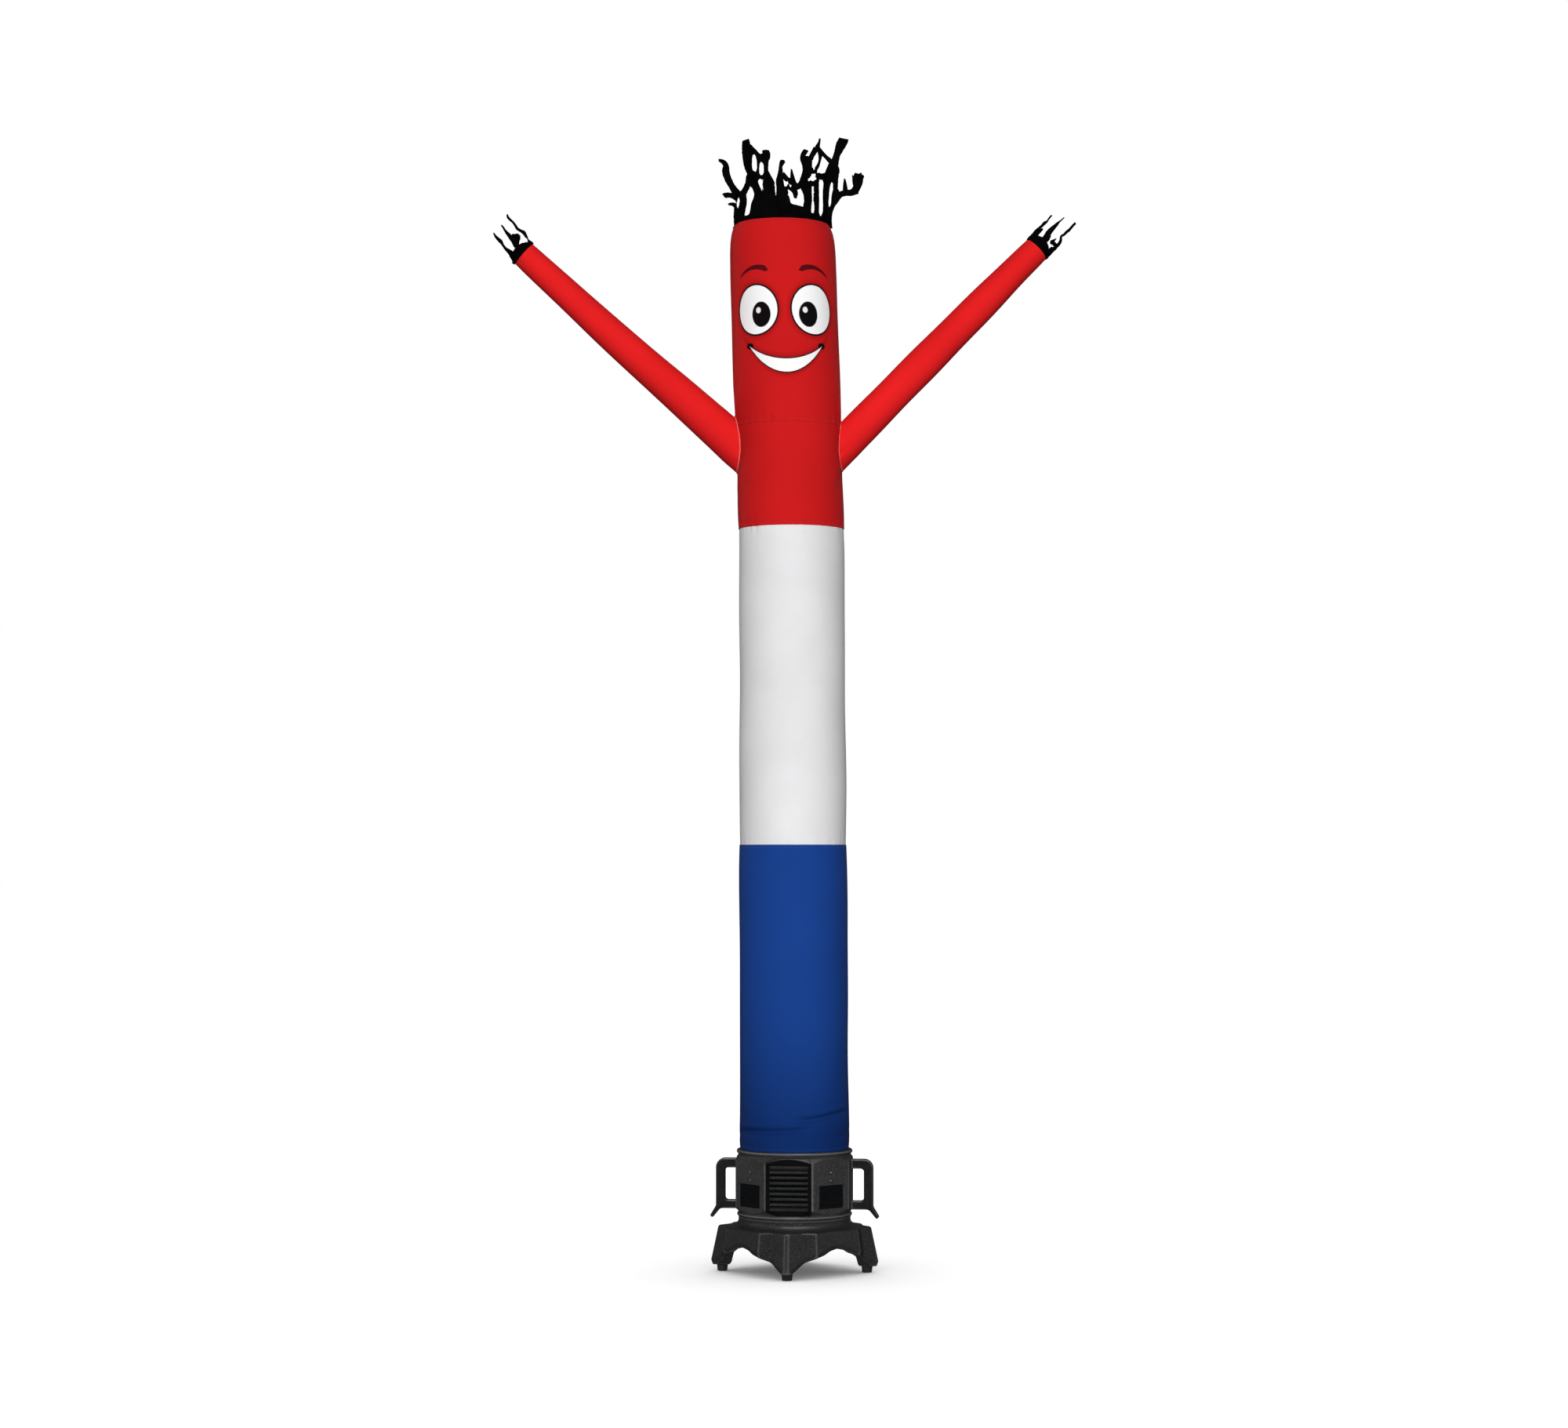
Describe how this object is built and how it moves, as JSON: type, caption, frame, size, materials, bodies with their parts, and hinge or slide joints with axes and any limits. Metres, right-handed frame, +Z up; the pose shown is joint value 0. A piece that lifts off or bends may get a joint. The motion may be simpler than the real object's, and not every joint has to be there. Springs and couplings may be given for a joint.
{
  "type": "inflatable air dancer on a blower",
  "caption": "Tall inflated cloth tube figure with two raised sleeves, a printed face and ragged black fringes, fitted over the outlet of a four-legged plastic blower.",
  "frame": {"origin": "on the floor, midway between the tips of the two hands and midway between the front and back feet", "axes": "+Z up along the tube, -Y the side with the face, +X towards the arm on the right of the front view"},
  "size_m": [1.6735, 0.4808, 3.2481],
  "materials": {
    "cloth_red": "matt coated nylon",
    "cloth_white": "matt coated nylon",
    "cloth_blue": "matt coated nylon",
    "cloth_black": "matt coated nylon, cut edges",
    "plastic_black": "fine moulded grain",
    "plate_black": "smooth",
    "rubber_black": "matt",
    "steel": "plain screw heads"
  },
  "bodies": {
    "root": {"panel_blue": "cloth_blue", "panel_white": "cloth_white", "panel_red": "cloth_red", "head": "cloth_red", "arm_left": "cloth_red", "arm_right": "cloth_red", "hair_fringe": "cloth_black", "hand_fringe_left": "cloth_black", "hand_fringe_right": "cloth_black", "blower_housing": "plastic_black", "blower_base": "plastic_black", "handle_left": "plastic_black", "handle_right": "plastic_black", "vent_panel": "plastic_black", "blank_plate_left": "plate_black", "blank_plate_right": "plate_black", "foot_front": "rubber_black", "foot_right": "rubber_black", "foot_back": "rubber_black", "foot_left": "rubber_black", "power_gland": "rubber_black", "screw_left_1": "steel", "screw_left_2": "steel", "screw_right_1": "steel", "screw_right_2": "steel"}
  },
  "joints": []
}
